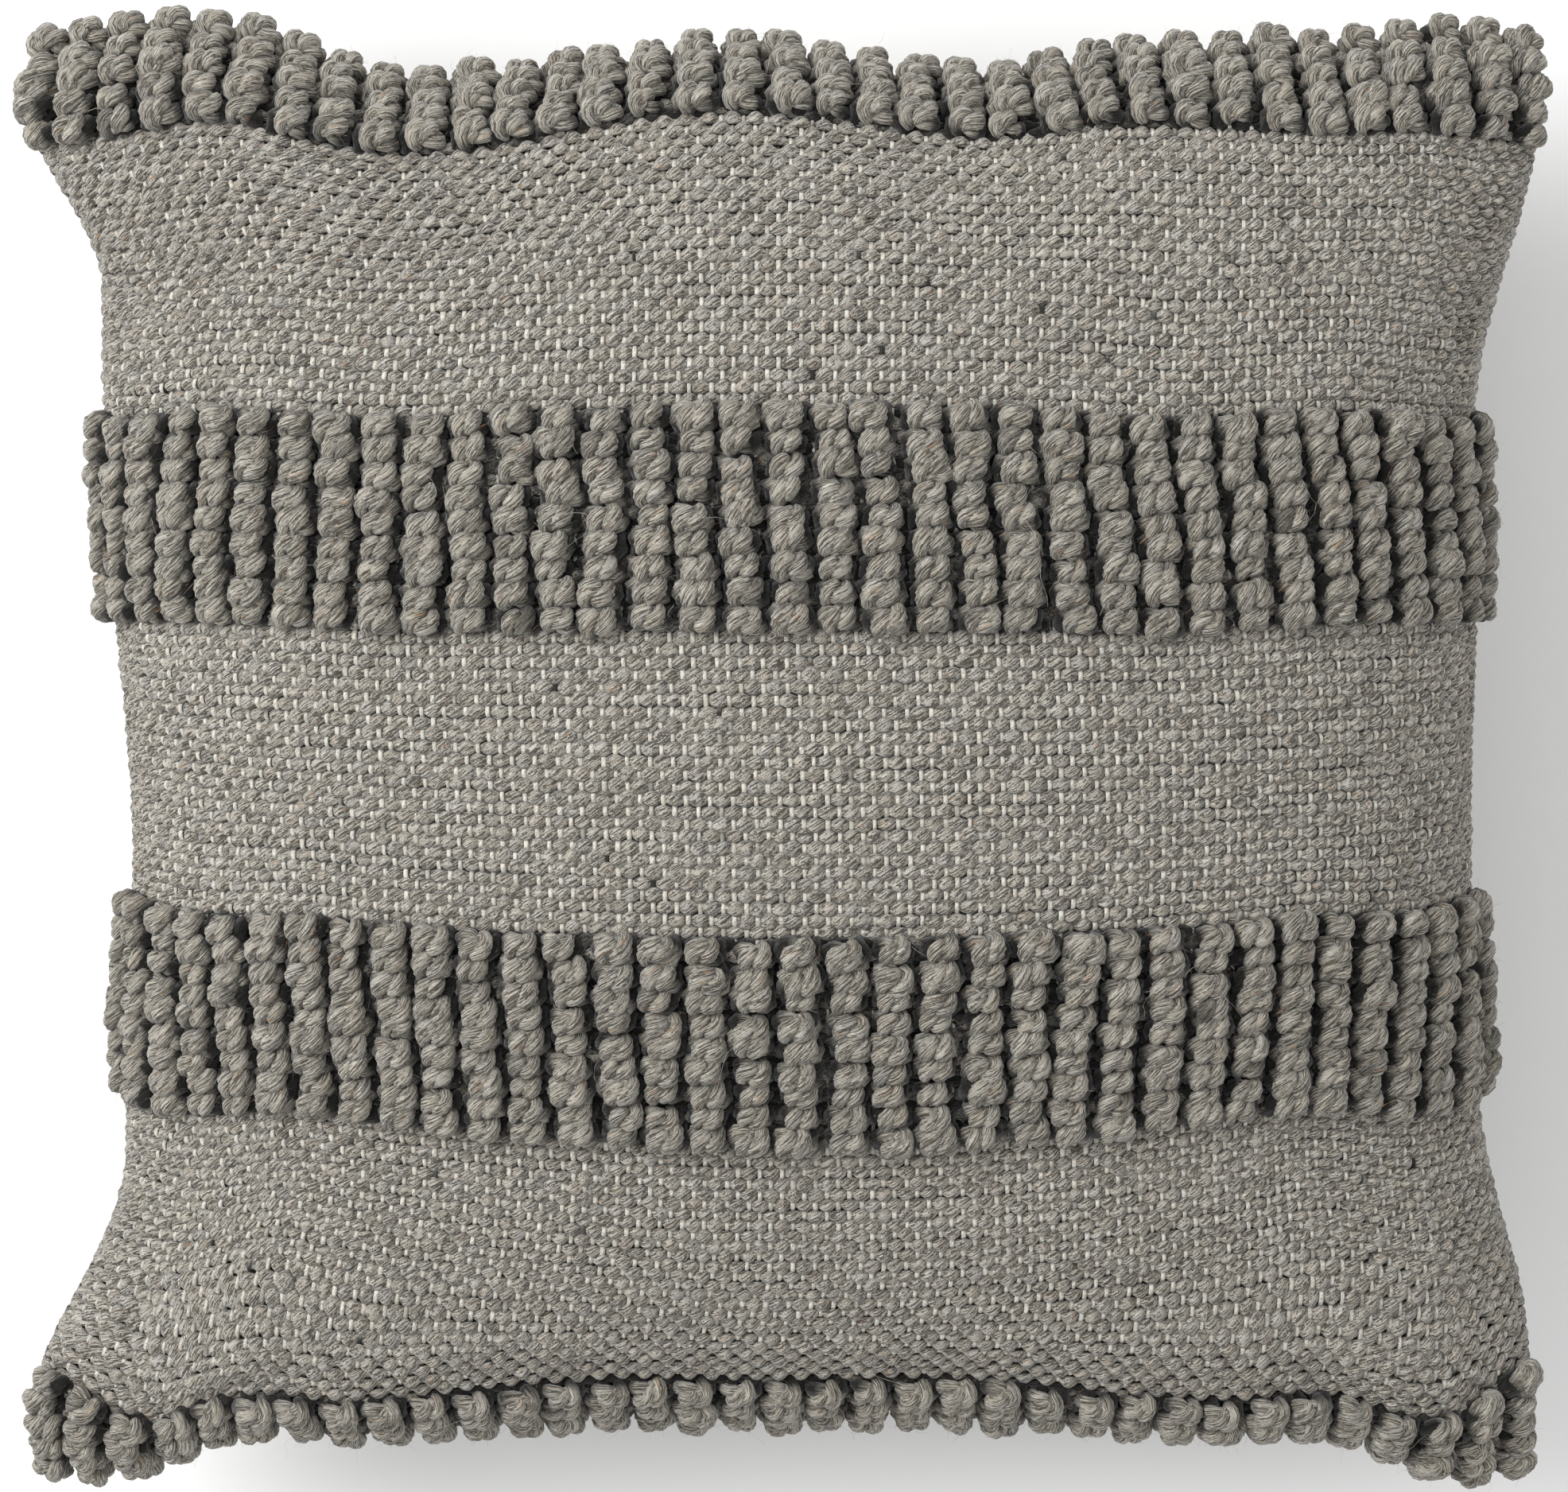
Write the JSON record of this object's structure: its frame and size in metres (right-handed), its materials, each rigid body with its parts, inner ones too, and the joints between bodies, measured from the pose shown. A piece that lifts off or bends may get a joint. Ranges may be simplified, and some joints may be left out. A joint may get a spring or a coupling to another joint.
{
  "type": "throw pillow",
  "caption": "Square throw pillow with a grey woven wool cover, raised bands of looped pile, a zip in the bottom seam and a filled insert.",
  "frame": {"origin": "on the table, under the middle of the pillow's bounding box, with the pillow lying on its back panel", "axes": "+X to the pillow's right seen from the front, +Y to its top edge, +Z out of its front face, which has the looped bands"},
  "size_m": [0.4876, 0.464, 0.1901],
  "materials": {
    "wool_weave": "matte",
    "wool_loops": "matte",
    "cotton": "matte",
    "fibre": "matte",
    "zip_tape": "matte",
    "zip_plastic": "satin",
    "zip_metal": "satin"
  },
  "bodies": {
    "cover": {"front_panel": "wool_weave", "back_panel": "wool_weave", "bottom_loop_band": "wool_loops", "lower_loop_band": "wool_loops", "upper_loop_band": "wool_loops", "top_loop_band": "wool_loops", "left_seam_thread": "cotton", "right_seam_thread": "cotton", "top_seam_thread": "cotton", "bottom_seam_thread_left": "cotton", "bottom_seam_thread_right": "cotton", "insert_case_front": "cotton", "insert_case_back": "cotton", "insert_seam_thread": "cotton", "insert_filling": "fibre", "zip_tape_front": "zip_tape", "zip_tape_back": "zip_tape", "zip_teeth_front": "zip_plastic", "zip_teeth_back": "zip_plastic", "zip_top_stop_front": "zip_metal", "zip_top_stop_back": "zip_metal", "zip_bottom_stop": "zip_metal"},
    "slider": {"zip_slider": "zip_metal"},
    "pull": {"zip_pull": "zip_metal"}
  },
  "joints": [
    {"name": "zip_slide", "type": "slide", "parent": "cover", "child": "slider", "axis": [-1, 0, 0], "range_m": [0, 0.272]},
    {"name": "pull_swing", "type": "hinge", "parent": "slider", "child": "pull", "pos_m": [0.138, -0.20845, 0.08859], "axis": [0, 0, 1], "range_deg": [0, 170]}
  ]
}
